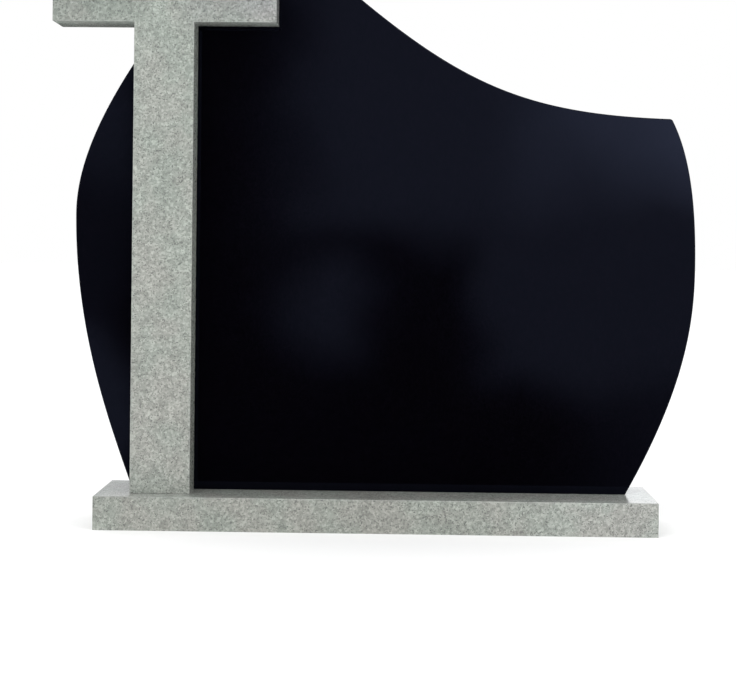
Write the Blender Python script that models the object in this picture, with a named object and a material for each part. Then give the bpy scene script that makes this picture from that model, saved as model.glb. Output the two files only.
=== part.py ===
"""Granite tombstone: a curved headstone and a Latin cross on a low base.

Metres, +Z up, front towards -Y. The origin is the centre of the base's underside.
"""

import math

import bmesh
import bpy
from mathutils import Matrix, Vector
from mathutils.geometry import interpolate_bezier

# Base: its length and depth follow from what stands on it
BASE_HEIGHT = 0.060
LEDGE_DEPTH = 0.100          # clear top in front of the headstone
REAR_MARGIN = 0.020          # top left showing behind the headstone
LEFT_MARGIN = 0.054          # base beyond the headstone's foot, left end
RIGHT_MARGIN = 0.046         # and right end

# Headstone, heights measured from its foot
FOOT_LENGTH = 0.900
SLAB_THICKNESS = 0.080
PEAK_HEIGHT = 1.070
PEAK_INSET = 0.211           # from the left corner of the foot
SHOULDER_HEIGHT = 0.684
SHOULDER_OVERHANG = 0.078    # beyond the right corner of the foot
LEFT_BELLY_HEIGHT = 0.502
LEFT_BELLY_OVERHANG = 0.108
RIGHT_BELLY_HEIGHT = 0.425
RIGHT_BELLY_OVERHANG = 0.123
CORNER_RADIUS = 0.004        # peak and shoulder

# Headstone edge: the way it runs at each outline point, anticlockwise from +X
LEFT_FOOT_ANGLE = 110.0
PEAK_LEFT_ANGLE = 53.0
PEAK_RIGHT_ANGLE = -41.7
SHOULDER_TOP_ANGLE = -1.5
SHOULDER_SIDE_ANGLE = -62.0
RIGHT_FOOT_ANGLE = -119.0

# Cross
CROSS_INSET = 0.005          # its left side from the left corner of the headstone's foot
CROSS_WIDTH = 0.108          # the face of the upright
CROSS_BAR_WIDTH = 0.108      # the face of the bar
CROSS_THICKNESS = 0.090
CROSS_STEM_HEIGHT = 0.846    # from the base to the underside of the bar
CROSS_ARM_LENGTH = 0.1475    # each arm of the bar, beyond the upright
CROSS_TOP_LENGTH = 0.145     # the upright above the bar
HOUSING_DEPTH = 0.030        # how far the cross is let into the headstone

# Fits and edges
JOINT_GAP = 0.0003
ARRIS_EASE = 0.0025
ARRIS_SEGMENTS = 2
CORNER_SEGMENTS = 4
CURVE_STEPS = 24             # straight facets along each curved stretch

# Places that several pieces share
BASE_LENGTH = LEFT_MARGIN + FOOT_LENGTH + RIGHT_MARGIN
BASE_DEPTH = LEDGE_DEPTH + SLAB_THICKNESS + REAR_MARGIN
SEAT_Z = BASE_HEIGHT + JOINT_GAP
SLAB_FRONT_Y = LEDGE_DEPTH - BASE_DEPTH / 2
FOOT_LEFT_X = LEFT_MARGIN - BASE_LENGTH / 2
FOOT_RIGHT_X = FOOT_LEFT_X + FOOT_LENGTH
CROSS_X = FOOT_LEFT_X + CROSS_INSET + CROSS_WIDTH / 2
CROSS_BACK_Y = SLAB_FRONT_Y + HOUSING_DEPTH


def clear_scene():
    """Remove every object, so that a second run starts clean."""
    for obj in list(bpy.data.objects):
        bpy.data.objects.remove(obj, do_unlink=True)


def make_stone(name, color, roughness):
    """Return a polished stone material."""
    material = bpy.data.materials.new(name)
    material.use_nodes = True
    shader = material.node_tree.nodes["Principled BSDF"]
    shader.inputs["Base Color"].default_value = (*color, 1.0)
    shader.inputs["Roughness"].default_value = roughness
    shader.inputs["Metallic"].default_value = 0.0
    return material


def add_object(name, bm, material=None):
    """Turn a bmesh into an object with outward faces and crisp arrises."""
    bmesh.ops.recalc_face_normals(bm, faces=bm.faces)
    mesh = bpy.data.meshes.new(name)
    bm.to_mesh(mesh)
    bm.free()
    obj = bpy.data.objects.new(name, mesh)
    bpy.context.scene.collection.objects.link(obj)
    if material is not None:
        mesh.materials.append(material)
    mesh.shade_smooth()
    mesh.set_sharp_from_angle(angle=math.radians(30.0))
    return obj


def prism(outline, front_y, back_y):
    """Return a bmesh of an (x, z) outline extruded from front_y to back_y."""
    bm = bmesh.new()
    ring = [bm.verts.new((x, front_y, z)) for x, z in outline]
    front = bm.faces.new(ring)
    grown = bmesh.ops.extrude_face_region(bm, geom=[front])
    moved = [item for item in grown["geom"] if isinstance(item, bmesh.types.BMVert)]
    bmesh.ops.translate(bm, verts=moved, vec=(0.0, back_y - front_y, 0.0))
    bmesh.ops.recalc_face_normals(bm, faces=bm.faces)
    return bm


def ease_arrises(bm, edges):
    """Round the given edges slightly, as a mason does before polishing."""
    bmesh.ops.bevel(
        bm, geom=edges, offset=ARRIS_EASE, segments=ARRIS_SEGMENTS,
        profile=0.5, affect="EDGES", clamp_overlap=True,
    )


def is_arris(edge, seat_z):
    """True for a sharp edge that doesn't lie on the surface below."""
    on_seat = all(abs(vert.co.z - seat_z) < 1e-6 for vert in edge.verts)
    return edge.calc_face_angle(0.0) > math.radians(30.0) and not on_seat


def bezier_stretch(start, start_angle, start_pull, end, end_angle, end_pull):
    """Return points along a Bezier curve, without the last one.

    Each pull is the length of a handle as a share of the straight distance.
    """
    start, end = Vector(start), Vector(end)
    reach = (end - start).length
    leave = Vector((math.cos(math.radians(start_angle)), math.sin(math.radians(start_angle))))
    arrive = Vector((math.cos(math.radians(end_angle)), math.sin(math.radians(end_angle))))
    handle_a = start + leave * reach * start_pull
    handle_b = end - arrive * reach * end_pull
    points = interpolate_bezier(start, handle_a, handle_b, end, CURVE_STEPS + 1)
    return [tuple(point) for point in points[:-1]]


def headstone_corners():
    """Return the peak and the right shoulder, as (x, z)."""
    peak = (FOOT_LEFT_X + PEAK_INSET, SEAT_Z + PEAK_HEIGHT)
    shoulder = (FOOT_RIGHT_X + SHOULDER_OVERHANG, SEAT_Z + SHOULDER_HEIGHT)
    return peak, shoulder


def headstone_outline():
    """Return the outline of the headstone, from its left foot over the peak to its right foot."""
    left_foot = (FOOT_LEFT_X, SEAT_Z)
    right_foot = (FOOT_RIGHT_X, SEAT_Z)
    left_belly = (FOOT_LEFT_X - LEFT_BELLY_OVERHANG, SEAT_Z + LEFT_BELLY_HEIGHT)
    right_belly = (FOOT_RIGHT_X + RIGHT_BELLY_OVERHANG, SEAT_Z + RIGHT_BELLY_HEIGHT)
    peak, shoulder = headstone_corners()
    return [
        *bezier_stretch(left_foot, LEFT_FOOT_ANGLE, 0.25, left_belly, 90.0, 0.42),
        *bezier_stretch(left_belly, 90.0, 0.27, peak, PEAK_LEFT_ANGLE, 0.37),
        *bezier_stretch(peak, PEAK_RIGHT_ANGLE, 0.525, shoulder, SHOULDER_TOP_ANGLE, 0.38),
        *bezier_stretch(shoulder, SHOULDER_SIDE_ANGLE, 0.28, right_belly, -90.0, 0.386),
        *bezier_stretch(right_belly, -90.0, 0.21, right_foot, RIGHT_FOOT_ANGLE, 0.54),
        right_foot,
    ]


def cross_outline(clearance=0.0):
    """Return the Latin cross as seen from the front, grown by clearance except at its foot."""
    half = CROSS_WIDTH / 2 + clearance
    span = CROSS_WIDTH / 2 + CROSS_ARM_LENGTH + clearance
    bar_low = SEAT_Z + CROSS_STEM_HEIGHT - clearance
    bar_high = SEAT_Z + CROSS_STEM_HEIGHT + CROSS_BAR_WIDTH + clearance
    top = bar_high + CROSS_TOP_LENGTH
    shape = [
        (-half, SEAT_Z), (-half, bar_low), (-span, bar_low), (-span, bar_high),
        (-half, bar_high), (-half, top), (half, top), (half, bar_high),
        (span, bar_high), (span, bar_low), (half, bar_low), (half, SEAT_Z),
    ]
    return [(CROSS_X + x, z) for x, z in shape]


def make_base(material):
    """Make the low base that everything stands on."""
    bm = bmesh.new()
    bmesh.ops.create_cube(bm, size=1.0)
    size = Matrix.Diagonal((BASE_LENGTH, BASE_DEPTH, BASE_HEIGHT, 1.0))
    bmesh.ops.transform(bm, matrix=size, verts=bm.verts)
    bmesh.ops.translate(bm, vec=(0.0, 0.0, BASE_HEIGHT / 2), verts=bm.verts)
    ease_arrises(bm, [edge for edge in bm.edges if is_arris(edge, 0.0)])
    return add_object("base", bm, material)


def make_headstone(material):
    """Make the headstone, with a housing cut in its front for the cross."""
    bm = prism(headstone_outline(), SLAB_FRONT_Y, SLAB_FRONT_Y + SLAB_THICKNESS)
    corners = [Vector(corner) for corner in headstone_corners()]

    def at_corner(vert):
        """True for a vertex on the line through the peak or the shoulder."""
        return any((Vector((vert.co.x, vert.co.z)) - corner).length < 1e-5 for corner in corners)

    lines = [edge for edge in bm.edges if all(at_corner(vert) for vert in edge.verts)]
    bmesh.ops.bevel(
        bm, geom=lines, offset=CORNER_RADIUS, segments=CORNER_SEGMENTS,
        profile=0.5, affect="EDGES", clamp_overlap=True,
    )
    rims = [edge for edge in bm.edges if is_rim(edge)]
    ease_arrises(bm, rims)
    obj = add_object("headstone", bm, material)

    housing = make_housing_cutter()
    cut = obj.modifiers.new("housing", "BOOLEAN")
    cut.operation = "DIFFERENCE"
    cut.solver = "EXACT"
    cut.object = housing
    return obj


def is_rim(edge):
    """True for an edge of the headstone's front or back face, apart from its foot."""
    depths = {round(vert.co.y, 6) for vert in edge.verts}
    return len(depths) == 1 and is_arris(edge, SEAT_Z)


def make_housing_cutter():
    """Make the shape that cuts the cross's housing, open below and in front."""
    bm = prism(cross_outline(JOINT_GAP), SLAB_FRONT_Y - HOUSING_DEPTH, CROSS_BACK_Y + JOINT_GAP)
    for vert in bm.verts:
        if abs(vert.co.z - SEAT_Z) < 1e-6:
            vert.co.z -= HOUSING_DEPTH
    cutter = add_object("housing_cutter", bm)
    cutter.hide_render = True
    cutter.display_type = "WIRE"
    return cutter


def make_cross(material):
    """Make the cross in one piece, standing on the base."""
    bm = prism(cross_outline(), CROSS_BACK_Y - CROSS_THICKNESS, CROSS_BACK_Y)
    convex = [edge for edge in bm.edges if is_arris(edge, SEAT_Z) and edge.is_convex]
    ease_arrises(bm, convex)
    return add_object("cross", bm, material)


def main():
    """Build the tombstone."""
    clear_scene()
    grey = make_stone("grey_granite", (0.36, 0.38, 0.35), 0.25)
    black = make_stone("black_granite", (0.010, 0.010, 0.013), 0.08)
    make_base(grey)
    make_headstone(black)
    make_cross(grey)


main()
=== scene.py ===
"""Dresses the tombstone: polished granite, a soft studio and the photograph's camera.

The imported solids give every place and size. Each piece is modelled again here with
finer edges, stands where its solid stands, and takes a granite finish of its own.
"""

import logging
import math
from collections.abc import Iterable, Sequence
from dataclasses import dataclass, field, replace
from enum import Enum
from typing import ClassVar

import bmesh
import bpy
from mathutils import Matrix, Vector


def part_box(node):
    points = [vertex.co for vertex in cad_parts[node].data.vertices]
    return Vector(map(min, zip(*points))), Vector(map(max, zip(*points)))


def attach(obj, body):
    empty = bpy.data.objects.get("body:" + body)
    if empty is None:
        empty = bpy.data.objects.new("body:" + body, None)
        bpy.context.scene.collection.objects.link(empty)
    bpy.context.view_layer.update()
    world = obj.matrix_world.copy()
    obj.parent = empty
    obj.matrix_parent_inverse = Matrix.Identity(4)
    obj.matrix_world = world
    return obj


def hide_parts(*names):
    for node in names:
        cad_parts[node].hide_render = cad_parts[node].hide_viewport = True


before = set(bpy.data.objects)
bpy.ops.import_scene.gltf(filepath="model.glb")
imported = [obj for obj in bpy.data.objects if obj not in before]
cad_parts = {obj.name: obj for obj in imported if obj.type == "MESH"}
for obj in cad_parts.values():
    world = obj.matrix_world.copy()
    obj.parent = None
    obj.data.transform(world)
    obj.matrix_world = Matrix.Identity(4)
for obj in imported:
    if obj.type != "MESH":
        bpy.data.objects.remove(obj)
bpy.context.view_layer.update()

BODY = "root"
PHOTO_WIDTH = 737
MILLIMETRE = 0.001
WELD = 0.01 * MILLIMETRE            # points closer than this are one
FLAT_TURN = math.radians(30.0)      # an edge that turns by more is sharp
ALONG = 0.999                       # a normal's share along an axis that it follows
FAR = 9.0                           # a border beyond every piece
CENTRE = (0.5, 0.5, 0.5)            # the mean of a noise's colour
WHITE = (1.0, 1.0, 1.0)

log = logging.getLogger("tombstone")

Color = tuple[float, float, float]
Place = tuple[float, float, float]
Point = tuple[float, float]
Plug = bpy.types.NodeSocket | float | int | Sequence[float] | bpy.types.Material


class Slot(Enum):
    """The record's material slots."""

    GREY = "grey_granite"
    BLACK = "black_granite"


class Surface(Enum):
    """How the mason left a face."""

    POLISHED = "polished"
    HONED = "honed"
    SAWN = "sawn"


class Wires:
    """Builds a node tree in few words."""

    def __init__(self, tree: bpy.types.NodeTree) -> None:
        """Keep the tree that gets the nodes.

        Args:
            tree: The shader or geometry tree to build.
        """
        self.tree = tree

    def plug(self, socket: bpy.types.NodeSocket, value: Plug) -> None:
        """Link a socket to another, or set its value.

        Args:
            socket: The input to feed.
            value: An output to link from, or a plain value.
        """
        if isinstance(value, bpy.types.NodeSocket):
            self.tree.links.new(value, socket)
        elif socket.type == "RGBA" and len(value) == 3:
            socket.default_value = (*value, 1.0)
        else:
            socket.default_value = value

    def add(self, kind: str, inputs: dict[str | int, Plug] | None = None,
            **settings: object) -> bpy.types.Node:
        """Add a node, with its inputs and settings.

        Args:
            kind: Blender's name of the node type.
            inputs: Values or outputs for its inputs, by name or number.
            **settings: Attributes of the node.

        Returns:
            The new node.
        """
        node = self.tree.nodes.new(kind)
        for name, value in settings.items():
            setattr(node, name, value)
        for key, value in (inputs or {}).items():
            self.plug(node.inputs[key], value)
        return node

    def math(self, operation: str, *values: Plug, clamp: bool = False) -> bpy.types.NodeSocket:
        """Return the result of a Math node.

        Args:
            operation: The node's operation.
            *values: One to three numbers or outputs.
            clamp: True to keep the result between 0 and 1.

        Returns:
            The node's output.
        """
        node = self.add("ShaderNodeMath", dict(enumerate(values)),
                        operation=operation, use_clamp=clamp)
        return node.outputs[0]

    def vector(self, operation: str, *values: Plug,
               output: str = "Vector") -> bpy.types.NodeSocket:
        """Return the result of a Vector Math node.

        Args:
            operation: The node's operation.
            *values: Vectors or outputs, in the order of the node's inputs.
            output: The output to return.

        Returns:
            The chosen output.
        """
        node = self.add("ShaderNodeVectorMath", dict(enumerate(values)), operation=operation)
        return node.outputs[output]

    def scaled(self, vector: Plug, factor: Plug) -> bpy.types.NodeSocket:
        """Return a vector times a number.

        Args:
            vector: The vector or output.
            factor: The number or output.

        Returns:
            The scaled vector.
        """
        inputs = {"Vector": vector, "Scale": factor}
        return self.add("ShaderNodeVectorMath", inputs, operation="SCALE").outputs["Vector"]

    def mix(self, factor: Plug, first: Plug, second: Plug) -> bpy.types.NodeSocket:
        """Return a mix of two colours.

        Args:
            factor: How much of the second, from 0 to 1.
            first: The colour at 0.
            second: The colour at 1.

        Returns:
            The mixed colour.
        """
        factor_in, first_in, second_in, color_out = 0, 6, 7, 2
        inputs = {factor_in: factor, first_in: first, second_in: second}
        return self.add("ShaderNodeMix", inputs, data_type="RGBA").outputs[color_out]

    def shaded(self, color: Plug, factor: Plug) -> bpy.types.NodeSocket:
        """Return a colour times a number that may be above 1."""
        return self.vector("MULTIPLY", color, self.scaled(WHITE, factor))

    def wander(self, vector: Plug, reach: Plug, *grain: float) -> bpy.types.NodeSocket:
        """Return a vector moved to and fro by a noise.

        Args:
            vector: The vector to move.
            reach: How far it moves at most, both ways together, along each axis.
            *grain: The noise's scale, and its octaves where they aren't the usual two.

        Returns:
            The moved vector.
        """
        off = self.vector("SUBTRACT", self.noise(vector, *grain, output="Color"), CENTRE)
        return self.vector("MULTIPLY_ADD", off, reach, vector)

    def ramp(self, value: Plug, low: Plug, high: Plug, to_low: Plug = 0.0, to_high: Plug = 1.0,
             kind: str = "SMOOTHSTEP") -> bpy.types.NodeSocket:
        """Return a value carried from one range to another.

        Args:
            value: The value to carry over.
            low: Start of the range it comes from.
            high: End of the range it comes from.
            to_low: Result at low.
            to_high: Result at high.
            kind: The interpolation.

        Returns:
            The carried value.
        """
        inputs = dict(enumerate((value, low, high, to_low, to_high)))
        return self.add("ShaderNodeMapRange", inputs, interpolation_type=kind).outputs[0]

    def noise(self, vector: Plug, scale: Plug, detail: float = 2.0, roughness: float = 0.5,
              output: str = "Fac") -> bpy.types.NodeSocket:
        """Return a noise texture's output.

        Args:
            vector: Where to read the noise.
            scale: Cells in a metre.
            detail: Octaves.
            roughness: Strength of the finer octaves.
            output: "Fac" or "Color".

        Returns:
            The chosen output.
        """
        inputs = {"Vector": vector, "Scale": scale, "Detail": detail, "Roughness": roughness}
        return self.add("ShaderNodeTexNoise", inputs).outputs[output]


class Group:
    """A shader node group under construction, with named inputs and outputs."""

    def __init__(self, name: str, inputs: dict[str, tuple[str, Plug]],
                 outputs: dict[str, str]) -> None:
        """Create the group's tree and its sockets.

        Args:
            name: The group's name.
            inputs: Socket type and default value for each input's name.
            outputs: Socket type for each output's name.
        """
        self.tree = bpy.data.node_groups.new(name, "ShaderNodeTree")
        for label, (kind, default) in inputs.items():
            socket = self.tree.interface.new_socket(label, in_out="INPUT", socket_type=kind)
            if default is not None:
                socket.default_value = (*default, 1.0) if kind == "NodeSocketColor" else default
        for label, kind in outputs.items():
            self.tree.interface.new_socket(label, in_out="OUTPUT", socket_type=kind)
        self.wires = Wires(self.tree)
        self.inputs = self.wires.add("NodeGroupInput").outputs
        self.result = self.wires.add("NodeGroupOutput")

    def give(self, **values: bpy.types.NodeSocket) -> bpy.types.NodeTree:
        """Link the group's outputs, named in lower case, and return its tree."""
        for label, value in values.items():
            self.wires.plug(self.result.inputs[label.title()], value)
        return self.tree


FLOAT = "NodeSocketFloat"
VECTOR = "NodeSocketVector"
COLOR = "NodeSocketColor"
GEOMETRY = "NodeSocketGeometry"


class StoneGroups:
    """The node groups that every stone here shares.

    A grain is a noise's octaves and the strength of the finer ones, after its cells in a
    metre where they are fixed. A share is a size or a density beside a crystal's or a
    cloud's. The other sets of numbers are ranges: where a value comes from, and where it
    goes to if that isn't 0 to 1.
    """

    JITTER_SHARE = 1.6              # cells of jitter to a crystal
    JITTER_GRAIN = (2.0, 0.6)
    SEAM_WIDTH = 0.08               # share of a crystal
    COARSE_RAGGED, FINE_RAGGED = 1.1, 1.4
    FINE_SHARE = 0.45               # a fine crystal's share of a coarse one
    QUARTZ_TO_FELDSPAR = (0.40, 0.60)
    COARSE_SHADE = (0.0, 1.0, 0.86, 1.12)
    FINE_SHADE = (0.0, 1.0, 0.90, 1.10)
    GATHER_SHARE = 0.35             # mica gathers over about three crystals
    GATHER = (0.3, 0.7, 0.35, 1.65)
    CLOUD_GRAIN = (3.0, 0.55)
    CLOUD_GAIN, DRIFT_GAIN = 2.0, 1.2
    DRIFT_SHARE, HUE_SHARE = 0.17, 0.25     # their cells to a cloud's
    MIDDLE = (0.35, 0.65)           # the part of a noise that counts
    SMEAR_GRAIN = (7.0, 4.0, 0.6)
    HAZE_GRAIN = (60.0, 3.0, 0.6)
    SWELL_GRAIN = (9.0,)
    SAW_WANDER = (12.0,)
    SAW_FADE_GRAIN = (5.0,)
    SAW_FADE = (*MIDDLE, 0.25, 1.0)
    SAW_GRIT = (700.0, 2.0, 0.7)
    SAW_TONE = 0.04
    WEAR_GRAIN = (45.0, 4.0, 0.65)
    WEAR = (0.35, 0.7, 0.35, 1.0)
    PATCH_GRAIN = (14.0, 3.0)

    def __init__(self) -> None:
        """Build each group once."""
        self.crystals = self.build_crystals()
        self.granite = self.build_granite()
        self.polish = self.build_polish()
        self.sawing = self.build_sawing()
        self.arris = self.build_arris()
        self.patch = self.build_tone_and_light()

    def build_crystals(self) -> bpy.types.NodeTree:
        """Build ragged crystals, each with a random tone.

        Returns:
            A group from Vector, Size and Raggedness to Tone, Shade and Seam.
        """
        group = Group(
            "crystals",
            {"Vector": (VECTOR, None), "Size": (FLOAT, 0.004), "Raggedness": (FLOAT, 0.5)},
            {"Tone": FLOAT, "Shade": FLOAT, "Seam": FLOAT},
        )
        wires, given = group.wires, group.inputs
        density = wires.math("DIVIDE", 1.0, given["Size"])
        cells = wires.math("MULTIPLY", density, self.JITTER_SHARE)
        jitter = wires.noise(given["Vector"], cells, *self.JITTER_GRAIN, output="Color")
        off = wires.vector("SUBTRACT", jitter, CENTRE)
        reach = wires.math("MULTIPLY", given["Size"], given["Raggedness"])
        moved = wires.vector("ADD", given["Vector"], wires.scaled(off, reach))
        seen = {"Vector": moved, "Scale": density}
        bodies = wires.add("ShaderNodeTexVoronoi", seen, feature="F1")
        tones = wires.add("ShaderNodeSeparateColor", {"Color": bodies.outputs["Color"]})
        edges = wires.add("ShaderNodeTexVoronoi", seen, feature="DISTANCE_TO_EDGE")
        seam = wires.ramp(edges.outputs["Distance"], 0.0, self.SEAM_WIDTH, 1.0, 0.0)
        return group.give(tone=tones.outputs["Red"], shade=tones.outputs["Green"], seam=seam)

    def build_granite(self) -> bpy.types.NodeTree:
        """Build the speckled body of a granite: light feldspar, grey quartz and dark mica.

        Returns:
            A group from Vector, the colours, sizes and tints to Color, Mica and Height.
        """
        group = Group(
            "granite_body",
            {
                "Vector": (VECTOR, None),
                "Feldspar": (COLOR, (0.5, 0.5, 0.5)),
                "Quartz": (COLOR, (0.35, 0.35, 0.35)),
                "Mica": (COLOR, (0.06, 0.06, 0.06)),
                "Crystal Size": (FLOAT, 0.004),
                "Mica Share": (FLOAT, 0.1),
                "Cloud Size": (FLOAT, 0.02),
                "Cloud Depth": (FLOAT, 0.1),
                "Warm Tint": (COLOR, (1.0, 0.98, 0.97)),
                "Cool Tint": (COLOR, (0.97, 1.0, 0.97)),
            },
            {"Color": COLOR, "Mica": FLOAT, "Height": FLOAT},
        )
        wires, given = group.wires, group.inputs
        at, size = given["Vector"], given["Crystal Size"]
        coarse = self.place(wires, self.crystals, {
            "Vector": at, "Size": size, "Raggedness": self.COARSE_RAGGED})
        fine = self.place(wires, self.crystals, {
            "Vector": at, "Size": wires.math("MULTIPLY", size, self.FINE_SHARE),
            "Raggedness": self.FINE_RAGGED})

        split = wires.ramp(coarse.outputs["Tone"], *self.QUARTZ_TO_FELDSPAR)
        ground = wires.mix(split, given["Quartz"], given["Feldspar"])
        for crystals, shade in ((coarse, self.COARSE_SHADE), (fine, self.FINE_SHADE)):
            ground = wires.shaded(
                ground, wires.ramp(crystals.outputs["Shade"], *shade, kind="LINEAR"))

        gather = wires.noise(at, wires.math("DIVIDE", self.GATHER_SHARE, size))
        share = wires.math("MULTIPLY", given["Mica Share"], wires.ramp(gather, *self.GATHER))
        mica = wires.math("LESS_THAN", fine.outputs["Tone"], share)
        speckled = wires.mix(mica, ground, given["Mica"])

        density = wires.math("DIVIDE", 1.0, given["Cloud Size"])
        cloud = wires.noise(at, density, *self.CLOUD_GRAIN)
        drift = wires.noise(at, wires.math("MULTIPLY", density, self.DRIFT_SHARE))
        spread = wires.math("ADD", *(
            wires.math("MULTIPLY", wires.math("SUBTRACT", noise, 0.5), gain)
            for noise, gain in ((cloud, self.CLOUD_GAIN), (drift, self.DRIFT_GAIN))))
        level = wires.math("MULTIPLY_ADD", spread, given["Cloud Depth"], 1.0)
        hue = wires.ramp(
            wires.noise(at, wires.math("MULTIPLY", density, self.HUE_SHARE)), *self.MIDDLE)
        tint = wires.mix(hue, given["Warm Tint"], given["Cool Tint"])
        color = wires.vector("MULTIPLY", wires.scaled(speckled, level), tint)
        height = wires.math("SUBTRACT", coarse.outputs["Seam"], mica)
        return group.give(color=color, mica=mica, height=height)

    def build_polish(self) -> bpy.types.NodeTree:
        """Build the small unevenness of a polished face.

        Returns:
            A group from Vector, Mica, Gloss, Smear and Flake to Roughness and Height.
        """
        group = Group(
            "polish",
            {
                "Vector": (VECTOR, None),
                "Mica": (FLOAT, 0.0),
                "Gloss": (FLOAT, 0.08),
                "Smear": (FLOAT, 0.05),
                "Flake": (FLOAT, 0.1),
            },
            {"Roughness": FLOAT, "Height": FLOAT},
        )
        wires, given = group.wires, group.inputs
        smear = wires.noise(given["Vector"], *self.SMEAR_GRAIN)
        fine = wires.noise(given["Vector"], *self.HAZE_GRAIN)
        haze = wires.math("MULTIPLY", wires.math("MULTIPLY", smear, fine), given["Smear"])
        flakes = wires.math("MULTIPLY", given["Mica"], given["Flake"])
        polished = wires.math("ADD", given["Gloss"], haze)
        roughness = wires.math("ADD", polished, flakes, clamp=True)
        swell = wires.noise(given["Vector"], *self.SWELL_GRAIN)
        return group.give(roughness=roughness, height=swell)

    def build_sawing(self) -> bpy.types.NodeTree:
        """Build the shallow arcs that a disc saw leaves on a hidden face.

        Returns:
            A group from Vector, Spacing and Unevenness to Height and Tone.
        """
        group = Group(
            "saw_marks",
            {"Vector": (VECTOR, None), "Spacing": (FLOAT, 0.006), "Unevenness": (FLOAT, 0.5)},
            {"Height": FLOAT, "Tone": FLOAT},
        )
        wires, given = group.wires, group.inputs
        at, spacing = given["Vector"], given["Spacing"]
        far = wires.vector("LENGTH", at, output="Value")
        wander = wires.math("MULTIPLY", wires.noise(at, *self.SAW_WANDER), spacing)
        turns = wires.math("DIVIDE", wires.math("ADD", far, wander), spacing)
        wave = wires.math("SINE", wires.math("MULTIPLY", turns, math.tau))
        fade = wires.ramp(wires.noise(at, *self.SAW_FADE_GRAIN), *self.SAW_FADE)
        grit = wires.math("MULTIPLY", wires.noise(at, *self.SAW_GRIT), given["Unevenness"])
        height = wires.math("MULTIPLY_ADD", wires.math("MULTIPLY", wave, 0.5), fade, grit)
        tone = wires.math("MULTIPLY_ADD", wires.math("MULTIPLY", wave, fade), self.SAW_TONE, 1.0)
        return group.give(height=height, tone=tone)

    def build_arris(self) -> bpy.types.NodeTree:
        """Build the paler, duller look of an edge that was eased by hand.

        Returns:
            A group from Vector, Color, Roughness, Arris, Pale, Wear and Dull to Color and
            Roughness.
        """
        group = Group(
            "eased_arris",
            {
                "Vector": (VECTOR, None),
                "Color": (COLOR, (0.5, 0.5, 0.5)),
                "Roughness": (FLOAT, 0.1),
                "Arris": (FLOAT, 0.0),
                "Pale": (COLOR, (0.6, 0.6, 0.6)),
                "Wear": (FLOAT, 0.3),
                "Dull": (FLOAT, 0.2),
            },
            {"Color": COLOR, "Roughness": FLOAT},
        )
        wires, given = group.wires, group.inputs
        patch = wires.ramp(wires.noise(given["Vector"], *self.WEAR_GRAIN), *self.WEAR)
        worn = wires.math("MULTIPLY", given["Arris"], patch)
        paled = wires.math("MULTIPLY", worn, given["Wear"])
        color = wires.mix(paled, given["Color"], given["Pale"])
        roughness = wires.math("MULTIPLY_ADD", worn, given["Dull"], given["Roughness"])
        return group.give(color=color, roughness=roughness)

    def build_tone_and_light(self) -> bpy.types.NodeTree:
        """Build a broad soft patch of another colour: mostly painted light and shade.

        Returns:
            A group from Vector, Low, High, Fade, Strength and Change to Tone.
        """
        group = Group(
            "tone_and_painted_light",
            {
                "Vector": (VECTOR, None),
                "Low": (VECTOR, (-1.0, -1.0, -1.0)),
                "High": (VECTOR, (1.0, 1.0, 1.0)),
                "Fade": (VECTOR, (0.1, 0.1, 0.1)),
                "Strength": (FLOAT, 1.0),
                "Change": (COLOR, WHITE),
            },
            {"Tone": COLOR},
        )
        wires, given = group.wires, group.inputs
        value_in, from_in, to_in, low_in, high_in, vector_out = 6, 7, 8, 9, 10, 1
        at = wires.wander(given["Vector"], given["Fade"], *self.PATCH_GRAIN)
        inside: Plug = given["Strength"]
        for border, to_low, to_high in ((given["Low"], 0.0, 1.0), (given["High"], 1.0, 0.0)):
            crossing = wires.add("ShaderNodeMapRange", {
                value_in: at, from_in: wires.vector("SUBTRACT", border, given["Fade"]),
                to_in: wires.vector("ADD", border, given["Fade"]),
                low_in: (to_low,) * 3, high_in: (to_high,) * 3},
                data_type="FLOAT_VECTOR", interpolation_type="SMOOTHSTEP")
            shares = wires.add(
                "ShaderNodeSeparateXYZ", {"Vector": crossing.outputs[vector_out]}).outputs
            for share in shares:
                inside = wires.math("MULTIPLY", inside, share)
        return group.give(tone=wires.mix(inside, WHITE, given["Change"]))

    @staticmethod
    def place(wires: Wires, tree: bpy.types.NodeTree,
              inputs: dict[str | int, Plug]) -> bpy.types.Node:
        """Place a group in a tree and feed its inputs.

        Args:
            wires: The tree that gets the group.
            tree: The group to place.
            inputs: Values or outputs by input name.

        Returns:
            The group node.
        """
        node = wires.tree.nodes.new("ShaderNodeGroup")
        node.node_tree = tree
        for name, value in inputs.items():
            wires.plug(node.inputs[name], value)
        return node


@dataclass(frozen=True)
class ToneAndLightPatch:
    """A soft-edged region of a piece, in metres, with another colour: mostly painted light and
    shade.
    """

    change: Color
    low: Place = (-FAR, -FAR, -FAR)
    high: Place = (FAR, FAR, FAR)
    fade: Place = (0.05, 0.05, 0.05)
    level_only: bool = False


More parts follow.
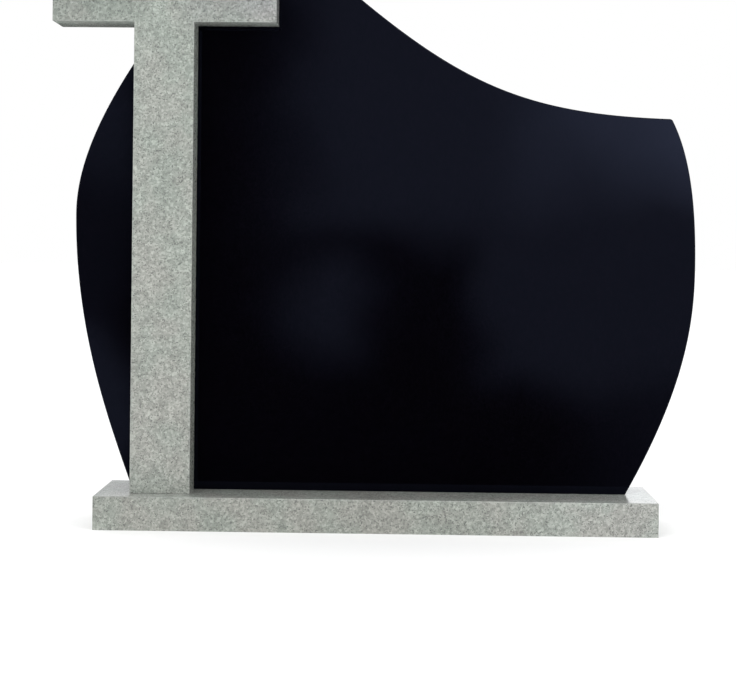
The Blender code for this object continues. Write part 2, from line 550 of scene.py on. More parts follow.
@dataclass(frozen=True)
class GraniteFinish:
    """One granite with one surface, as colours, sizes in metres and shader values."""

    slot: Slot
    surface: Surface
    feldspar: Color
    quartz: Color
    mica: Color
    crystal_size: float
    mica_share: float
    cloud_size: float
    cloud_depth: float
    warm_tint: Color
    cool_tint: Color
    gloss: float
    smear: float
    flake_roughness: float
    pale_edge: Color
    edge_wear: float
    edge_dull: float
    relief: float
    ior: float = 1.54
    mirror_tint: Color = WHITE
    tones_and_painted_light: tuple[ToneAndLightPatch, ...] = ()
    turn: Place = (0.4, 0.7, 0.2)

    def build(self, groups: StoneGroups, piece: str, shift: Place) -> bpy.types.Material:
        """Make the material for one piece, cut from its own place in the stone.

        Args:
            groups: The shared node groups.
            piece: The piece's name, used in the material's.
            shift: How far the pattern is moved, in metres, so that no two pieces match.

        Returns:
            The material.
        """
        material = bpy.data.materials.new(f"{piece}_{self.slot.value}_{self.surface.value}")
        material.use_nodes = True
        tree = material.node_tree
        tree.nodes.clear()
        wires = Wires(tree)
        coordinates = wires.add("ShaderNodeTexCoord").outputs["Object"]
        here = wires.add("ShaderNodeMapping", {
            "Vector": coordinates, "Location": shift, "Rotation": self.turn}).outputs["Vector"]
        body = groups.place(wires, groups.granite, {
            "Vector": here, "Feldspar": self.feldspar, "Quartz": self.quartz, "Mica": self.mica,
            "Crystal Size": self.crystal_size, "Mica Share": self.mica_share,
            "Cloud Size": self.cloud_size, "Cloud Depth": self.cloud_depth,
            "Warm Tint": self.warm_tint, "Cool Tint": self.cool_tint})
        polish = groups.place(wires, groups.polish, {
            "Vector": here, "Mica": body.outputs["Mica"], "Gloss": self.gloss,
            "Smear": self.smear, "Flake": self.flake_roughness})
        color = body.outputs["Color"]
        # Painted light and shade: each patch scales the colour in one region of the piece.
        for patch in self.tones_and_painted_light:
            tone = groups.place(wires, groups.patch, {
                "Vector": coordinates, "Low": patch.low, "High": patch.high, "Fade": patch.fade,
                "Change": patch.change})
            # Where asked, only on level faces: painted light on the base's top and the cross's
            # undersides.
            if patch.level_only:
                level = wires.add("ShaderNodeAttribute", attribute_name="level_face")
                wires.plug(tone.inputs["Strength"], level.outputs["Fac"])
            color = wires.vector("MULTIPLY", color, tone.outputs["Tone"])
        height = polish.outputs["Height"]
        if self.surface is Surface.SAWN:
            marks = groups.place(wires, groups.sawing, {"Vector": coordinates})
            color = wires.scaled(color, marks.outputs["Tone"])
            height = marks.outputs["Height"]
        arris_mark = wires.add("ShaderNodeAttribute", attribute_name="arris").outputs["Fac"]
        edge = groups.place(wires, groups.arris, {
            "Vector": here, "Color": color, "Roughness": polish.outputs["Roughness"],
            "Arris": arris_mark, "Pale": self.pale_edge, "Wear": self.edge_wear,
            "Dull": self.edge_dull})
        bump = wires.add("ShaderNodeBump", {"Distance": self.relief, "Height": height})
        shader = wires.add("ShaderNodeBsdfPrincipled", {
            "Base Color": edge.outputs["Color"], "Roughness": edge.outputs["Roughness"],
            "IOR": self.ior, "Specular Tint": self.mirror_tint,
            "Normal": bump.outputs["Normal"]})
        output = wires.add("ShaderNodeOutputMaterial")
        wires.plug(output.inputs["Surface"], shader.outputs["BSDF"])
        return material


POLISHED_GREY = GraniteFinish(
    slot=Slot.GREY, surface=Surface.POLISHED,
    feldspar=(0.358, 0.375, 0.354), quartz=(0.279, 0.297, 0.279), mica=(0.112, 0.119, 0.114),
    crystal_size=0.0036, mica_share=0.10, cloud_size=0.018, cloud_depth=0.21,
    warm_tint=(1.04, 1.01, 0.985), cool_tint=(1.005, 1.025, 0.985),
    gloss=0.12, smear=0.20, flake_roughness=0.15,
    pale_edge=(0.366, 0.376, 0.358), edge_wear=0.50, edge_dull=0.15, relief=0.02 * MILLIMETRE,
)
CROSS_GREY = replace(POLISHED_GREY, tones_and_painted_light=(
    # A little greener and darker towards the top of the cross.
    ToneAndLightPatch((0.967, 0.995, 0.99), low=(-FAR, -FAR, 0.55), fade=(0.1, 0.1, 0.35)),
    # Painted shade: the left arm of the bar much darker, as less light falls from the left.
    ToneAndLightPatch((0.775, 0.787, 0.782), low=(-FAR, -FAR, 0.91), high=(-0.425, FAR, FAR),
              fade=(0.03, 0.03, 0.03)),
    # Painted shade: the bar's right arm darker.
    ToneAndLightPatch((0.87, 0.86, 0.89), low=(-0.350, -FAR, 0.91), fade=(0.03, 0.03, 0.03)),
    # Painted light: the right end of the bar lighter again, where light falls from the right.
    ToneAndLightPatch((1.07, 1.03, 1.08), low=(-0.245, -FAR, 0.91), fade=(0.04, 0.04, 0.03)),
    # Painted light: the faces that look down, the undersides of the arms, much lighter.
    ToneAndLightPatch((1.85, 1.85, 1.85), level_only=True),
    # Painted shade: those undersides darker towards the headstone behind them.
    ToneAndLightPatch((0.50, 0.50, 0.50), low=(-FAR, -0.028, -FAR), fade=(0.03, 0.03, 0.03),
              level_only=True),
))
BASE_GREY = replace(
    POLISHED_GREY, warm_tint=(0.995, 0.96, 0.93), cool_tint=(0.965, 0.985, 0.94),
    tones_and_painted_light=(
        # Painted light: the right end of the base lighter, as lit from the right.
        ToneAndLightPatch((1.15, 1.15, 1.18), low=(0.31, -FAR, -FAR), fade=(0.21, 0.1, 0.1)),
        # Painted light: the base's top, which looks up, lighter.
        ToneAndLightPatch((1.10, 1.10, 1.12), level_only=True),
        # Painted light: that top lighter still along its front edge.
        ToneAndLightPatch((1.22, 1.22, 1.22), high=(FAR, -0.078, FAR), fade=(0.1, 0.02, 0.1),
                  level_only=True),
    ),
)
SAWN_GREY = GraniteFinish(
    slot=Slot.GREY, surface=Surface.SAWN,
    feldspar=(0.388, 0.396, 0.377), quartz=(0.319, 0.328, 0.310), mica=(0.164, 0.168, 0.164),
    crystal_size=0.0036, mica_share=0.09, cloud_size=0.020, cloud_depth=0.14,
    warm_tint=(1.015, 0.99, 0.985), cool_tint=(0.98, 1.01, 0.985),
    gloss=0.62, smear=0.25, flake_roughness=0.05,
    pale_edge=(0.414, 0.423, 0.405), edge_wear=0.25, edge_dull=0.0, relief=0.12 * MILLIMETRE,
)
POLISHED_BLACK = GraniteFinish(
    slot=Slot.BLACK, surface=Surface.POLISHED,
    feldspar=(0.0013, 0.0009, 0.0018), quartz=(0.0007, 0.0005, 0.0011),
    mica=(0.0004, 0.0003, 0.0006),
    crystal_size=0.0022, mica_share=0.20, cloud_size=0.030, cloud_depth=0.25,
    warm_tint=(1.0, 0.98, 0.98), cool_tint=(0.96, 0.98, 1.02),
    gloss=0.035, smear=0.09, flake_roughness=0.02,
    pale_edge=(0.012, 0.012, 0.015), edge_wear=0.30, edge_dull=0.12,
    relief=0.03 * MILLIMETRE, ior=1.33, mirror_tint=(0.477, 0.581, 1.0),
)
HONED_BLACK = GraniteFinish(
    slot=Slot.BLACK, surface=Surface.HONED,
    feldspar=(0.080, 0.082, 0.088), quartz=(0.048, 0.049, 0.053), mica=(0.028, 0.028, 0.030),
    crystal_size=0.0022, mica_share=0.16, cloud_size=0.040, cloud_depth=0.22,
    warm_tint=(1.01, 1.0, 0.985), cool_tint=(0.98, 0.99, 1.01),
    gloss=0.42, smear=0.30, flake_roughness=0.05,
    pale_edge=(0.13, 0.13, 0.135), edge_wear=0.5, edge_dull=0.1, relief=0.06 * MILLIMETRE,
)


@dataclass(frozen=True)
class Corner:
    """A named point of an outline, as seen from the front.

    An angle is the way that the edge runs through the point, in degrees from +X, and a
    pull is a curve handle's length as a share of the straight distance to the next point.
    """

    name: str
    place: Point
    arrive_angle: float = 0.0
    arrive_pull: float = 0.0
    leave_angle: float = 0.0
    leave_pull: float = 0.0

    def handle(self, other: "Corner", leaving: bool) -> Vector:
        """Return the curve handle on one side of the point.

        Args:
            other: The corner at the stretch's other end.
            leaving: True for the handle towards the next corner.

        Returns:
            The handle's place in the outline's plane.
        """
        reach = (Vector(other.place) - Vector(self.place)).length
        angle, pull = self.arrive_angle, -self.arrive_pull
        if leaving:
            angle, pull = self.leave_angle, self.leave_pull
        turn = math.radians(angle)
        return Vector(self.place) + Vector((math.cos(turn), math.sin(turn))) * pull * reach


@dataclass
class Plate:
    """A stone plate sawn to an outline, made by a Geometry Nodes tree."""

    name: str
    corners: list[Corner]
    front_y: float
    thickness: float
    steps: int = 1

    def is_curved(self, index: int) -> bool:
        """True where the stretch after a corner is a curve."""
        following = self.corners[(index + 1) % len(self.corners)]
        return self.corners[index].leave_pull > 0.0 or following.arrive_pull > 0.0

    def points(self) -> dict[str, Vector]:
        """Return every named point of the tree's inputs, in the outline's plane."""
        named = {}
        for index, corner in enumerate(self.corners):
            named[corner.name] = Vector(corner.place)
            if self.is_curved(index):
                following = self.corners[(index + 1) % len(self.corners)]
                named[f"{corner.name} Leaving"] = corner.handle(following, leaving=True)
                named[f"{following.name} Arriving"] = following.handle(corner, leaving=False)
        return named

    def tree(self) -> bpy.types.NodeTree:
        """Build the tree: edges joined to a loop, filled, thickened and stood upright.

        Returns:
            A geometry tree with an input for each point, Front, Thickness, Steps and Stone.
        """
        tree = bpy.data.node_groups.new(f"{self.name}_plate", "GeometryNodeTree")
        kinds = {
            "Geometry": GEOMETRY, **dict.fromkeys(self.points(), VECTOR), "Front": FLOAT,
            "Thickness": FLOAT, "Steps": "NodeSocketInt", "Stone": "NodeSocketMaterial"}
        for label, kind in kinds.items():
            tree.interface.new_socket(label, in_out="INPUT", socket_type=kind)
        tree.interface.new_socket("Geometry", in_out="OUTPUT", socket_type=GEOMETRY)
        wires = Wires(tree)
        given = wires.add("NodeGroupInput").outputs

        loop = wires.add("GeometryNodeJoinGeometry")
        for index, corner in enumerate(self.corners):
            following = self.corners[(index + 1) % len(self.corners)]
            ends = {"Start": given[corner.name], "End": given[following.name]}
            if self.is_curved(index):
                piece = wires.add("GeometryNodeCurvePrimitiveBezierSegment", {
                    "Resolution": given["Steps"], **ends,
                    "Start Handle": given[f"{corner.name} Leaving"],
                    "End Handle": given[f"{following.name} Arriving"]}, mode="POSITION")
            else:
                piece = wires.add("GeometryNodeCurvePrimitiveLine", ends, mode="POINTS")
            edge = wires.add("GeometryNodeCurveToMesh", {"Curve": piece.outputs["Curve"]})
            wires.plug(loop.inputs["Geometry"], edge.outputs["Mesh"])

        ring = wires.add("GeometryNodeMergeByDistance", {
            "Geometry": loop.outputs["Geometry"], "Distance": WELD})
        outline = wires.add("GeometryNodeMeshToCurve", {"Mesh": ring.outputs["Geometry"]})
        face = wires.add(
            "GeometryNodeFillCurve", {"Curve": outline.outputs["Curve"]}, mode="NGONS")
        depth = wires.add("ShaderNodeCombineXYZ", {
            "Z": wires.math("MULTIPLY", given["Thickness"], -1.0)}).outputs["Vector"]
        grown = wires.add("GeometryNodeExtrudeMesh", {
            "Mesh": face.outputs["Mesh"], "Offset": depth, "Offset Scale": 1.0,
            "Individual": False}, mode="FACES")
        closed = wires.add("GeometryNodeJoinGeometry")
        for part in (grown, face):
            wires.plug(closed.inputs["Geometry"], part.outputs["Mesh"])
        solid = wires.add("GeometryNodeMergeByDistance", {
            "Geometry": closed.outputs["Geometry"], "Distance": WELD})
        place = wires.add("ShaderNodeCombineXYZ", {"Y": given["Front"]}).outputs["Vector"]
        upright = wires.add("GeometryNodeTransform", {
            "Geometry": solid.outputs["Geometry"], "Translation": place,
            "Rotation": (math.pi / 2, 0.0, 0.0)})
        real = wires.add("GeometryNodeRealizeInstances", {
            "Geometry": upright.outputs["Geometry"]})
        stone = wires.add("GeometryNodeSetMaterial", {
            "Geometry": real.outputs["Geometry"], "Material": given["Stone"]})
        result = wires.add("NodeGroupOutput")
        wires.plug(result.inputs["Geometry"], stone.outputs["Geometry"])
        return tree

    def build(self, stone: bpy.types.Material) -> bpy.types.Object:
        """Run the tree and keep its result as a plain closed mesh.

        Args:
            stone: The material that the tree sets.

        Returns:
            An object at the origin, with square edges.
        """
        carrier = link_object(f"{self.name}_carrier", bpy.data.meshes.new(f"{self.name}_carrier"))
        modifier = carrier.modifiers.new("plate", "NODES")
        modifier.node_group = self.tree()
        values: dict[str, object] = {
            "Front": self.front_y, "Thickness": self.thickness, "Steps": self.steps,
            "Stone": stone,
            **{name: (*place, 0.0) for name, place in self.points().items()}}
        for item in modifier.node_group.interface.items_tree:
            if item.in_out == "INPUT" and item.name in values:
                modifier[item.identifier] = values[item.name]
        obj = link_object(self.name, evaluated_mesh(carrier, self.name))
        bpy.data.objects.remove(carrier, do_unlink=True)
        keep_one_material(obj.data, stone)
        with MeshEdit(obj) as bm:
            bmesh.ops.remove_doubles(bm, verts=bm.verts, dist=WELD)
            bmesh.ops.recalc_face_normals(bm, faces=bm.faces)
        return obj


class MeshEdit:
    """Opens an object's mesh as a bmesh and writes it back at the end."""

    def __init__(self, obj: bpy.types.Object) -> None:
        """Keep the object to edit."""
        self.mesh = obj.data
        self.bm = bmesh.new()

    def __enter__(self) -> bmesh.types.BMesh:
        """Load the mesh."""
        self.bm.from_mesh(self.mesh)
        return self.bm

    def __exit__(self, *_: object) -> None:
        """Write the mesh back."""
        self.bm.to_mesh(self.mesh)
        self.bm.free()
        self.mesh.update()


def link_object(name: str, mesh: bpy.types.Mesh) -> bpy.types.Object:
    """Put a mesh in the scene at the origin.

    Args:
        name: The object's name.
        mesh: Its mesh.

    Returns:
        The new object.
    """
    obj = bpy.data.objects.new(name, mesh)
    bpy.context.scene.collection.objects.link(obj)
    return obj


def evaluated_mesh(obj: bpy.types.Object, name: str) -> bpy.types.Mesh:
    """Return a plain mesh of an object as its modifiers leave it.

    Args:
        obj: The object.
        name: The new mesh's name.

    Returns:
        The mesh, with nothing live on it.
    """
    graph = bpy.context.evaluated_depsgraph_get()
    mesh = bpy.data.meshes.new_from_object(obj.evaluated_get(graph), depsgraph=graph)
    mesh.name = name
    return mesh


def keep_one_material(mesh: bpy.types.Mesh, material: bpy.types.Material) -> None:
    """Drop the empty slot that a node tree leaves before the material it sets."""
    mesh.materials.clear()
    mesh.materials.append(material)
    for polygon in mesh.polygons:
        polygon.material_index = 0


def round_edges(bm: bmesh.types.BMesh, edges: Iterable[bmesh.types.BMEdge], radius: float,
                segments: int, mark: bool) -> None:
    """Round some edges, and mark the new faces as eased where asked.

    Args:
        bm: The mesh.
        edges: The edges to round.
        radius: How far the rounding reaches from each edge, in metres.
        segments: Facets across it.
        mark: True to set the arris attribute on the new faces.
    """
    layer = bm.faces.layers.float.get("arris") or bm.faces.layers.float.new("arris")
    made = bmesh.ops.bevel(bm, geom=list(edges), offset=radius, segments=segments,
                           profile=0.5, affect="EDGES", clamp_overlap=False)
    for face in made["faces"]:
        face[layer] = float(mark)


def mark_level_faces(bm: bmesh.types.BMesh, upward: bool) -> None:
    """Set the level_face attribute on the faces that look straight up, or straight down.

    Args:
        bm: The mesh.
        upward: True for the faces that look up.
    """
    layer = bm.faces.layers.float.new("level_face")
    bm.normal_update()
    way = 1.0 if upward else -1.0
    for face in bm.faces:
        face[layer] = float(way * face.normal.z > ALONG)


def is_sharp(edge: bmesh.types.BMEdge) -> bool:
    """True for an outward edge that turns by more than a curve's facets do."""
    return edge.is_convex and edge.calc_face_angle(0.0) > FLAT_TURN


def lies_at(edge: bmesh.types.BMEdge, height: float) -> bool:
    """True for an edge that lies level at a height."""
    return all(abs(vert.co.z - height) < WELD for vert in edge.verts)


def shade_stone(obj: bpy.types.Object, flat_area: float = 0.002) -> None:
    """Shade broad faces flat, so that they mirror truly, and the rest smooth.

    Args:
        obj: The piece.
        flat_area: The area in square metres from which a face counts as broad.
    """
    obj.data.set_sharp_from_angle(angle=FLAT_TURN)
    for polygon in obj.data.polygons:
        polygon.use_smooth = polygon.area < flat_area


def set_hidden_finish(obj: bpy.types.Object, material: bpy.types.Material, foot: float) -> None:
    """Give a second finish to the back and to the face that the piece stands on.

    Args:
        obj: The piece.
        material: The finish.
        foot: The height of the face that it stands on.
    """
    obj.data.materials.append(material)
    index = len(obj.data.materials) - 1
    for polygon in obj.data.polygons:
        is_back = polygon.normal.y > ALONG
        is_foot = polygon.normal.z < -ALONG and polygon.center.z < foot + MILLIMETRE
        if is_back or is_foot:
            polygon.material_index = index


@dataclass(kw_only=True)
class Stone:
    """A piece of the tombstone, with what all its pieces share."""

    groups: StoneGroups
    node: ClassVar[str]
    slot: ClassVar[Slot]
    shown: ClassVar[GraniteFinish]
    hidden: ClassVar[GraniteFinish]
    shift: ClassVar[Place]
    arris: float = 1.6 * MILLIMETRE
    segments: int = 4
    obj: bpy.types.Object = field(init=False)

    def saw(self, corners: list[Corner], steps: int = 1) -> None:
        """Saw the piece to an outline, as deep as its solid.

        Args:
            corners: The outline.
            steps: Straight facets along each curved stretch.
        """
        low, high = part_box(self.node)
        stone = self.shown.build(self.groups, self.node, self.shift)
        plate = Plate(f"granite_{self.node}", corners, low.y, high.y - low.y, steps)
        self.obj = plate.build(stone)

    def ease(self, upward: bool) -> None:
        """Round all outer edges but the foot's, and mark the level faces.

        Args:
            upward: True to mark the level faces that look up, False for those that look down.
        """
        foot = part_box(self.node)[0].z
        with MeshEdit(self.obj) as bm:
            eased = [edge for edge in bm.edges if is_sharp(edge) and not lies_at(edge, foot)]
            round_edges(bm, eased, self.arris, self.segments, mark=True)
            # The level faces get painted light: the base's top and the cross's undersides are
            # made lighter.
            mark_level_faces(bm, upward)

    def dress(self) -> None:
        """Polish what shows, leave the back and the foot plainer, and report the piece."""
        shade_stone(self.obj)
        plainer = self.hidden.build(self.groups, self.node, self.shift)
        set_hidden_finish(self.obj, plainer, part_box(self.node)[0].z)
        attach(self.obj, BODY)
        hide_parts(self.node)
        log.info("%s: %d faces, stands for %s",
                 self.obj.name, len(self.obj.data.polygons), self.node)


@dataclass(kw_only=True)
class Base(Stone):
    """The low slab that carries the headstone and the cross."""

    node: ClassVar[str] = "base"
    slot: ClassVar[Slot] = Slot.GREY
    shown: ClassVar[GraniteFinish] = BASE_GREY
    hidden: ClassVar[GraniteFinish] = SAWN_GREY
    shift: ClassVar[Place] = (3.1, 0.7, 1.9)

    def build(self) -> None:
        """Make the slab from its solid's box."""
        low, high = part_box("base")
        self.saw([
            Corner("Left Foot", (low.x, low.z)), Corner("Left Top", (low.x, high.z)),
            Corner("Right Top", (high.x, high.z)), Corner("Right Foot", (high.x, low.z)),
        ])
        self.ease(upward=True)


@dataclass(kw_only=True)
class Cross(Stone):
    """The Latin cross in front of the headstone's left side."""

    node: ClassVar[str] = "cross"
    slot: ClassVar[Slot] = Slot.GREY
    shown: ClassVar[GraniteFinish] = CROSS_GREY
    hidden: ClassVar[GraniteFinish] = SAWN_GREY
    shift: ClassVar[Place] = (0.4, 2.3, 5.2)
    upright_width: float = 0.108
    bar_low: float = 0.9063
    bar_width: float = 0.108

    def corners(self, clearance: float = 0.0) -> list[Corner]:
        """Return the outline, grown by a clearance except at its foot.

        Args:
            clearance: How far each side moves out, in metres.

        Returns:
            The twelve corners, from the left of the foot.
        """
        low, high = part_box("cross")
        middle = (low.x + high.x) / 2
        half = self.upright_width / 2 + clearance
        span = (high.x - low.x) / 2 + clearance
        under, over = self.bar_low - clearance, self.bar_low + self.bar_width + clearance
        top = high.z + clearance
        left = {"Foot": (half, low.z), "Crotch": (half, under), "Under": (span, under),
                "Over": (span, over), "Neck": (half, over), "Top": (half, top)}
        return [
            *(Corner(f"Left {name}", (middle - x, z)) for name, (x, z) in left.items()),
            *(Corner(f"Right {name}", (middle + x, z))
              for name, (x, z) in reversed(left.items())),
        ]

    def build(self) -> None:
        """Make the cross in one piece."""
        self.saw(self.corners())
        self.ease(upward=False)


@dataclass(kw_only=True)
class Headstone(Stone):
    """The black slab with a free-curve outline and a housing for the cross.

    Insets and overhangs are measured from the corners of its foot. A bend gives the
    angle and pull with which the edge arrives at a corner, and those with which it leaves.
    """

    node: ClassVar[str] = "headstone"
    slot: ClassVar[Slot] = Slot.BLACK
    shown: ClassVar[GraniteFinish] = POLISHED_BLACK
    hidden: ClassVar[GraniteFinish] = HONED_BLACK
    shift: ClassVar[Place] = (1.3, 4.1, 0.6)
    bends: ClassVar[dict[str, tuple[float, float, float, float]]] = {
        "Left Foot": (0.0, 0.0, 110.0, 0.25),
        "Left Belly": (90.0, 0.42, 90.0, 0.27),
        "Peak": (53.0, 0.37, -41.7, 0.525),
        "Shoulder": (-1.5, 0.38, -62.0, 0.28),
        "Right Belly": (-90.0, 0.386, -90.0, 0.21),
        "Right Foot": (-119.0, 0.54, 0.0, 0.0),
    }
    cross: Cross
    foot_inset: float = 0.108
    foot_length: float = 0.900
    peak_inset: float = 0.211
    peak_height: float = 1.070
    shoulder_height: float = 0.684
    shoulder_overhang: float = 0.078
    left_belly_height: float = 0.502
    right_belly_height: float = 0.425
    corner_radius: float = 4.0 * MILLIMETRE
    housing_gap: float = 0.3 * MILLIMETRE
    steps: int = 72

    def corners(self) -> list[Corner]:
        """Return the outline, from the left of the foot over the peak to the right.

        Returns:
            Six corners, each with the way that the edge runs through it.
        """
        low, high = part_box("headstone")
        left = low.x + self.foot_inset
        right = left + self.foot_length
        places = {
            "Left Foot": (left, low.z),
            "Left Belly": (low.x, low.z + self.left_belly_height),
            "Peak": (left + self.peak_inset, low.z + self.peak_height),
            "Shoulder": (right + self.shoulder_overhang, low.z + self.shoulder_height),
            "Right Belly": (high.x, low.z + self.right_belly_height),
            "Right Foot": (right, low.z),
        }
        return [Corner(name, place, *self.bends[name]) for name, place in places.items()]

    def build(self) -> None:
        """Make the slab, round its edges and cut the housing."""
        corners = self.corners()
        self.saw(corners, self.steps)
        tips = [Vector(corner.place) for corner in corners if corner.name in ("Peak", "Shoulder")]

        def at_tip(vert: bmesh.types.BMVert) -> bool:
            """True for a vertex on the line through the peak or the shoulder."""
            return any((vert.co.xz - tip).length < 10 * WELD for tip in tips)

        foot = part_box("headstone")[0].z
        with MeshEdit(self.obj) as bm:
            lines = [edge for edge in bm.edges if all(at_tip(vert) for vert in edge.verts)]
            round_edges(bm, lines, self.corner_radius, self.segments, mark=False)
            rims = [edge for edge in bm.edges if self.is_rim(edge) and not lies_at(edge, foot)]
            round_edges(bm, rims, self.arris, self.segments, mark=True)
        self.cut_housing()

    @staticmethod
    def is_rim(edge: bmesh.types.BMEdge) -> bool:
        """True for an edge round the front or the back face."""
        return abs(edge.verts[0].co.y - edge.verts[1].co.y) < WELD and is_sharp(edge)

    def cut_housing(self) -> None:
        """Cut the cross's shape into the front, a joint's width wider than the cross."""
        low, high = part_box("cross")
        foot = low.z - (high.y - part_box("headstone")[0].y)
        corners = [
            replace(corner, place=(corner.place[0], foot)) if "Foot" in corner.name else corner
            for corner in self.cross.corners(self.housing_gap)]
        shape = Plate("housing", corners, low.y, high.y + self.housing_gap - low.y)
        cutter = shape.build(self.obj.data.materials[0])
        cut = self.obj.modifiers.new("housing", "BOOLEAN")
        cut.operation = "DIFFERENCE"
        cut.solver = "EXACT"
        cut.object = cutter
        mesh = evaluated_mesh(self.obj, self.obj.name)
        self.obj.modifiers.clear()
        self.obj.data = mesh
        bpy.data.objects.remove(cutter, do_unlink=True)


@dataclass(frozen=True)
class PhotoCamera:
    """The photograph's camera, level and a little turned, with a lens shift downwards.

    Angles are in degrees, and the shift is a share of the picture's width.
    """

    place: Place = (0.0415, -3.0294, 0.5158)
    focal_pixels: float = 1660.6
    yaw_left: float = 1.1208
    roll: float = 0.6005
    shift_down: float = 0.1472
    sensor: float = 36.0

    def build(self) -> bpy.types.Object:
        """Make the camera and set it as the scene's.

        Returns:
            The camera object.
        """
        data = bpy.data.cameras.new("photo_camera")
        data.sensor_fit = "HORIZONTAL"
        data.sensor_width = self.sensor
        data.lens = self.focal_pixels / PHOTO_WIDTH * self.sensor
        data.shift_y = -self.shift_down
        camera = bpy.data.objects.new("photo_camera", data)
        bpy.context.scene.collection.objects.link(camera)
        upright = Matrix.Rotation(math.pi / 2, 4, "X")
        turned = Matrix.Rotation(math.radians(self.yaw_left), 4, "Z")
        rolled = Matrix.Rotation(math.radians(self.roll), 4, "Z")
        camera.matrix_world = Matrix.Translation(self.place) @ turned @ upright @ rolled
        bpy.context.scene.camera = camera
        return camera


@dataclass(frozen=True)
class SoftPanel:
    """A soft-edged light panel of the room in front, which polished stone mirrors.

    Its corners are where the photograph's camera sees it on the headstone's face, as (x, z).
    """

    low: Point
    high: Point
    fade: Point
    radiance: float
    tint: Color = WHITE

    def mask(self, wires: Wires, seen: tuple[Plug, Plug]) -> bpy.types.NodeSocket:
        """Return how much of the panel a direction meets.

        Args:
            wires: The world's tree.
            seen: Where the headstone's face mirrors that direction, as x and z.

        Returns:
            A value from 0 outside to 1 inside.
        """
        inside: Plug = 1.0
        for at, low, high, fade in zip(seen, self.low, self.high, self.fade):
            rising = wires.ramp(at, low - fade, low + fade)
            falling = wires.ramp(at, high - fade, high + fade, 1.0, 0.0)
            inside = wires.math("MULTIPLY", inside, wires.math("MULTIPLY", rising, falling))
        return inside


@dataclass(frozen=True)
class Lamp:
    """A broad soft lamp that only lights, without a mirror image of its own."""

    name: str
    place: Place
    aim: Place
    size: Point
    watts: float

    def build(self) -> None:
        """Hang the lamp and turn it to its aim."""
        data = bpy.data.lights.new(self.name, "AREA")
        data.shape = "RECTANGLE"
        data.size, data.size_y = self.size
        data.energy = self.watts
        lamp = bpy.data.objects.new(self.name, data)
        bpy.context.scene.collection.objects.link(lamp)
        place = Vector(self.place)
        turn = (place - Vector(self.aim)).to_track_quat("Z", "Y").to_matrix().to_4x4()
        lamp.matrix_world = Matrix.Translation(place) @ turn
        lamp.visible_glossy = False


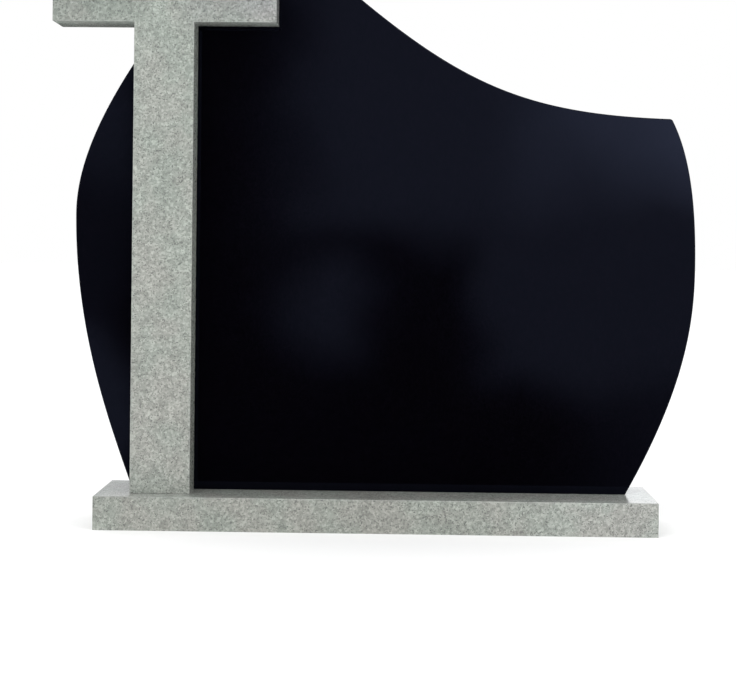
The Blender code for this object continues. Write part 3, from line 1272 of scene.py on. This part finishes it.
@dataclass
class Studio:
    """A pale floor, two soft lamps, even light all round, and a room that stone mirrors.

    A range gives a direction's share along an axis, from and to, and the brightness at
    both ends where it isn't 0 to 1.
    """

    behind: ClassVar[tuple[float, ...]] = (-0.10, 0.50)
    back_aside: ClassVar[tuple[float, ...]] = (-0.16, 0.10, 0.45, 1.0)
    back_below: ClassVar[tuple[float, ...]] = (-0.08, 0.05, 0.06, 1.0)
    back_above: ClassVar[tuple[float, ...]] = (0.20, 0.60, 1.0, 0.30)
    sideways: ClassVar[tuple[float, ...]] = (0.45, 0.95)
    side_rise: ClassVar[tuple[float, ...]] = (-0.60, 0.30, 1.0, 0.25)

    camera: PhotoCamera
    floor_size: float = 60.0
    floor_shown: float = 0.97
    floor_glow: float = 0.07
    ambient: float = 1.08
    mirrored_dark: Color = (0.016, 0.016, 0.019)
    mirrored_back: Color = (1.60, 1.63, 1.66)
    mirrored_side: Color = (0.80, 0.84, 0.92)
    mirrored_twice: float = 0.10
    least_ahead: float = 0.02
    panel_wander: float = 0.22
    wander_cells: float = 5.0
    lamps: tuple[Lamp, ...] = (
        Lamp("left_lamp", (-1.8, -3.4, 2.9), (0.0, 0.0, 0.5), (2.6, 2.0), 40.0),
        Lamp("right_lamp", (2.1, -1.8, 0.9), (0.2, 0.0, 0.3), (1.4, 1.4), 14.0),
    )
    panels: tuple[SoftPanel, ...] = (
        SoftPanel((-0.16, 0.54), (2.5, 3.0), (0.12, 0.07), 0.56),
        SoftPanel((0.38, 0.65), (2.5, 3.0), (0.22, 0.12), 1.69),
        SoftPanel((0.17, 0.25), (2.5, 0.53), (0.05, 0.05), 0.48),
        SoftPanel((-0.175, 0.31), (-0.025, 0.46), (0.08, 0.07), 0.52),
        SoftPanel((-3.0, -0.10), (-0.45, 2.5), (0.04, 0.06), 0.18),
        SoftPanel((-3.0, 0.66), (-0.45, 2.5), (0.04, 0.08), 0.36),
        SoftPanel((-3.0, -0.10), (-0.45, 0.34), (0.04, 0.05), 0.42),
        SoftPanel((0.42, -0.15), (2.5, 0.25), (0.16, 0.06), 0.22),
        SoftPanel((-12.0, -6.0), (12.0, -0.55), (1.0, 0.30), 0.45, (0.96, 1.0, 1.06)),
    )

    def build(self) -> None:
        """Make the floor, the lamps and the surroundings."""
        self.build_floor()
        for lamp in self.lamps:
            lamp.build()
        self.build_world()
        bpy.context.scene.view_settings.view_transform = "Standard"

    def build_floor(self) -> None:
        """Make the pale floor, lit a little from within as a studio table is."""
        mesh = bpy.data.meshes.new("studio_floor")
        half = self.floor_size / 2
        corners = [(-half, -half, 0), (half, -half, 0), (half, half, 0), (-half, half, 0)]
        mesh.from_pydata(corners, [], [(0, 1, 2, 3)])
        floor = link_object("studio_floor", mesh)
        material = bpy.data.materials.new("studio_floor")
        material.use_nodes = True
        shader = material.node_tree.nodes["Principled BSDF"]
        for name, value in {
                "Base Color": (*(self.floor_shown,) * 3, 1.0), "Emission Color": (*WHITE, 1.0),
                "Emission Strength": self.floor_glow, "Roughness": 1.0,
                "Specular IOR Level": 0.0}.items():
            shader.inputs[name].default_value = value
        mesh.materials.append(material)
        floor.visible_glossy = False

    def front_room(self, wires: Wires,
                   axes: bpy.types.bpy_prop_collection) -> bpy.types.NodeSocket:
        """Build what lies in front: a dark room with soft panels.

        Args:
            wires: The world's tree.
            axes: The direction's X, Y and Z.

        Returns:
            Its colour.
        """
        eye = Vector(self.camera.place)
        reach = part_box("headstone")[0].y - eye.y
        ahead = wires.math("MAXIMUM", wires.math("MULTIPLY", axes["Y"], -1.0), self.least_ahead)
        across, up = (
            wires.math("MULTIPLY_ADD", wires.math("DIVIDE", axes[axis], ahead), reach, start)
            for axis, start in (("X", eye.x), ("Z", eye.z)))
        spot = wires.add("ShaderNodeCombineXYZ", {"X": across, "Y": up}).outputs["Vector"]
        moved = wires.wander(spot, (self.panel_wander,) * 3, self.wander_cells)
        seen = tuple(wires.add("ShaderNodeSeparateXYZ", {"Vector": moved}).outputs[:2])
        room: Plug = self.mirrored_dark
        for panel in self.panels:
            glow = wires.math("MULTIPLY", panel.mask(wires, seen), panel.radiance)
            room = wires.vector("ADD", room, wires.scaled(panel.tint, glow))
        return room

    def back_room(self, wires: Wires,
                  axes: bpy.types.bpy_prop_collection) -> bpy.types.NodeSocket:
        """Build what lies behind: a bright wall, dimmer to the left, above and below.

        Args:
            wires: The world's tree.
            axes: The direction's X, Y and Z.

        Returns:
            Its colour.
        """
        aside = wires.ramp(axes["X"], *self.back_aside)
        below = wires.ramp(axes["Z"], *self.back_below)
        above = wires.ramp(axes["Z"], *self.back_above)
        level = wires.math("MULTIPLY", aside, wires.math("MULTIPLY", below, above))
        return wires.scaled(self.mirrored_back, level)

    def side_walls(self, wires: Wires,
                   axes: bpy.types.bpy_prop_collection) -> bpy.types.NodeSocket:
        """Build what lies on both sides: plain walls, brightest where they meet the floor.

        Args:
            wires: The world's tree.
            axes: The direction's X, Y and Z.

        Returns:
            Their colour.
        """
        sideways = wires.ramp(wires.math("ABSOLUTE", axes["X"]), *self.sideways)
        rise = wires.ramp(axes["Z"], *self.side_rise)
        return wires.scaled(self.mirrored_side, wires.math("MULTIPLY", sideways, rise))

    def build_world(self) -> None:
        """Light everything evenly, and give polished stone a darker room to mirror."""
        world = bpy.data.worlds.new("soft_studio")
        bpy.context.scene.world = world
        world.use_nodes = True
        tree = world.node_tree
        tree.nodes.clear()
        wires = Wires(tree)
        way = wires.vector("NORMALIZE", wires.add("ShaderNodeTexCoord").outputs["Generated"])
        axes = wires.add("ShaderNodeSeparateXYZ", {"Vector": way}).outputs
        behind = wires.ramp(axes["Y"], *self.behind)
        room = wires.mix(behind, self.front_room(wires, axes), self.back_room(wires, axes))
        room = wires.vector("ADD", room, self.side_walls(wires, axes))
        path = wires.add("ShaderNodeLightPath").outputs
        first_bounce = wires.math("LESS_THAN", path["Glossy Depth"], 1.5)
        level = wires.math(
            "MULTIPLY_ADD", first_bounce, 1.0 - self.mirrored_twice, self.mirrored_twice)
        even, mirrored, shown = (
            wires.add("ShaderNodeBackground", {"Color": color, "Strength": strength}).outputs[0]
            for color, strength in ((WHITE, self.ambient), (room, level), (WHITE, 1.0)))
        test_in, no_in, yes_in = 0, 1, 2
        for_gloss = wires.add("ShaderNodeMixShader", {
            test_in: path["Is Glossy Ray"], no_in: even, yes_in: mirrored})
        for_all = wires.add("ShaderNodeMixShader", {
            test_in: path["Is Camera Ray"], no_in: for_gloss.outputs[0], yes_in: shown})
        output = wires.add("ShaderNodeOutputWorld")
        wires.plug(output.inputs["Surface"], for_all.outputs[0])


def main() -> None:
    """Build the camera, the stones and the studio, in that order."""
    logging.basicConfig(level=logging.INFO, format="%(name)s: %(message)s")
    camera = PhotoCamera()
    camera.build()
    groups = StoneGroups()
    cross = Cross(groups=groups)
    for piece in (Base(groups=groups), cross, Headstone(groups=groups, cross=cross)):
        piece.build()
        piece.dress()
    Studio(camera).build()


if __name__ == "__main__":
    main()
